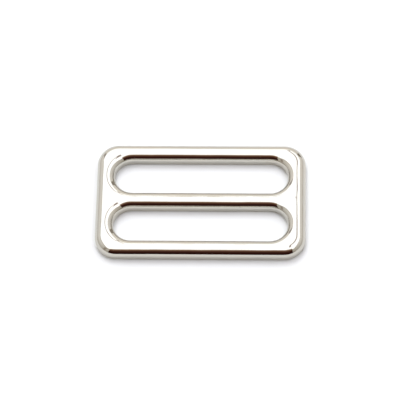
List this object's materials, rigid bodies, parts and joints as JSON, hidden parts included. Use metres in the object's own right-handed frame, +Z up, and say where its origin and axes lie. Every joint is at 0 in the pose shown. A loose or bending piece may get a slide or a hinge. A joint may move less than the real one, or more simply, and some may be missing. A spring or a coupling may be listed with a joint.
{
  "type": "tri-glide slide",
  "caption": "Flat rectangular metal webbing slide with rounded bars and slots with round ends on each side of a centre bar, for setting the length of a strap.",
  "frame": {"origin": "centre of the flat back, on the plane that the slide rests on, under the middle of the centre bar", "axes": "+X along the bars, towards the right end as seen in the picture; +Y across the slots, away from the viewer; +Z up out of the domed front"},
  "size_m": [0.0466, 0.0276, 0.0031],
  "materials": {
    "nickel_plate": "bright polished nickel plating on a zinc die casting"
  },
  "bodies": {
    "root": {"slide_frame": "nickel_plate"}
  },
  "joints": []
}
